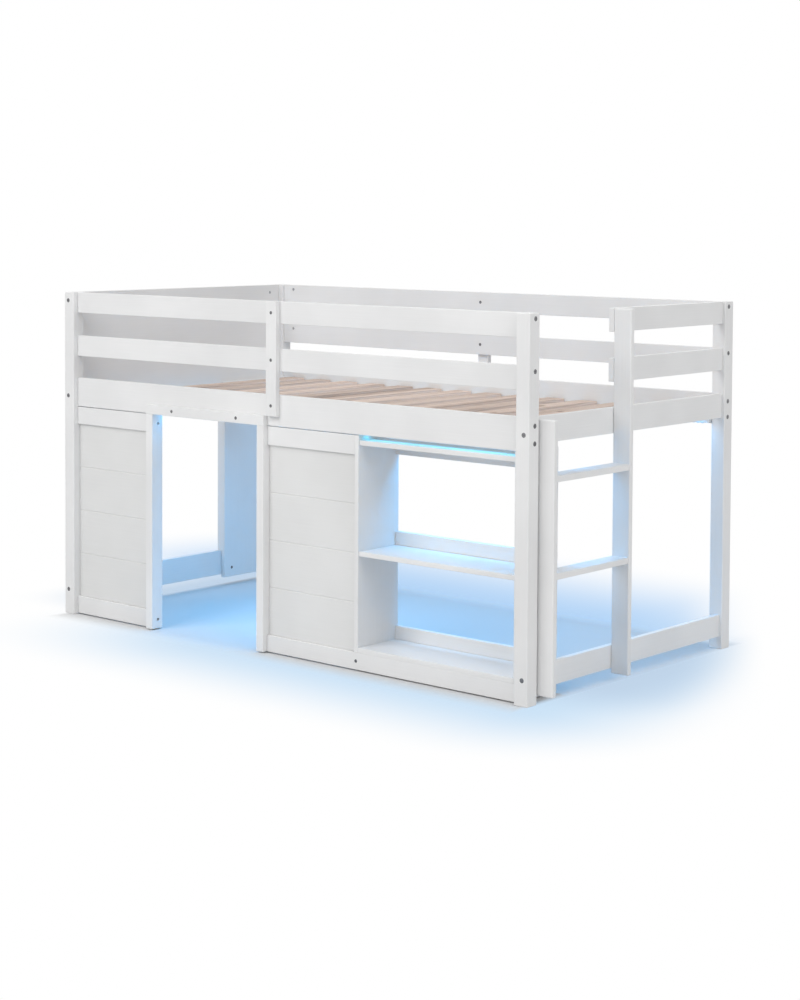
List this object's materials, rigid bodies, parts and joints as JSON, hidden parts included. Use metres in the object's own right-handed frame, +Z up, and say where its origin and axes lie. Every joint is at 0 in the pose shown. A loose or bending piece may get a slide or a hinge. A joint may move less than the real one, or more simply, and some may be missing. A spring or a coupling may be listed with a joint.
{
  "type": "low loft bed",
  "caption": "Low loft bed on posts with guard rails, a slatted base, an end ladder, a den with a doorway and grooved panels, and a lit open shelf unit below.",
  "frame": {"origin": "on the floor under the middle of the outline, ladder included", "axes": "+X along the bed from the headboard to the ladder end, +Y from the shelf side to the back, +Z up"},
  "size_m": [2.031, 1.084, 1.11],
  "materials": {
    "white_paint": "satin white paint on wood",
    "pine": "planed bare pine",
    "dark_steel": "dark zinc plate",
    "zinc_steel": "zinc plate",
    "led": "clear coated light strip"
  },
  "bodies": {
    "root": {"apron": "white_paint", "back_batten": "white_paint", "back_ledger": "white_paint", "back_middle_rail": "white_paint", "back_side_board": "white_paint", "back_top_rail": "white_paint", "barrel_nuts": "zinc_steel", "connector_bolts": "dark_steel", "door_header": "white_paint", "door_post_left": "white_paint", "door_post_right": "white_paint", "front_batten": "white_paint", "front_ledger": "white_paint", "front_middle_rail": "white_paint", "front_side_board": "white_paint", "front_top_rail": "white_paint", "headboard_panel": "white_paint", "ladder_lower_rung": "white_paint", "ladder_short_stile": "white_paint", "ladder_tall_stile": "white_paint", "ladder_upper_rung": "white_paint", "led_strips": "led", "left_floor_rail": "white_paint", "left_panel_boards": "white_paint", "left_panel_bottom_rail": "white_paint", "left_panel_top_rail": "white_paint", "left_wing_panel": "white_paint", "post_back_left": "white_paint", "post_back_right": "white_paint", "post_front_left": "white_paint", "post_front_right": "white_paint", "right_end_board": "white_paint", "right_floor_rail": "white_paint", "right_middle_guard": "white_paint", "right_panel_boards": "white_paint", "right_panel_top_rail": "white_paint", "right_top_guard": "white_paint", "shelf_bottom": "white_paint", "shelf_bottom_lip": "white_paint", "shelf_middle": "white_paint", "shelf_middle_lip": "white_paint", "shelf_side_left": "white_paint", "shelf_side_right": "white_paint", "shelf_top": "white_paint", "shelf_top_lip": "white_paint", "slat_01": "pine", "slat_02": "pine", "slat_03": "pine", "slat_04": "pine", "slat_05": "pine", "slat_06": "pine", "slat_07": "pine", "slat_08": "pine", "slat_09": "pine", "slat_10": "pine", "slat_11": "pine", "slat_12": "pine", "slat_13": "pine", "slat_14": "pine", "wood_screws": "dark_steel"}
  },
  "joints": []
}
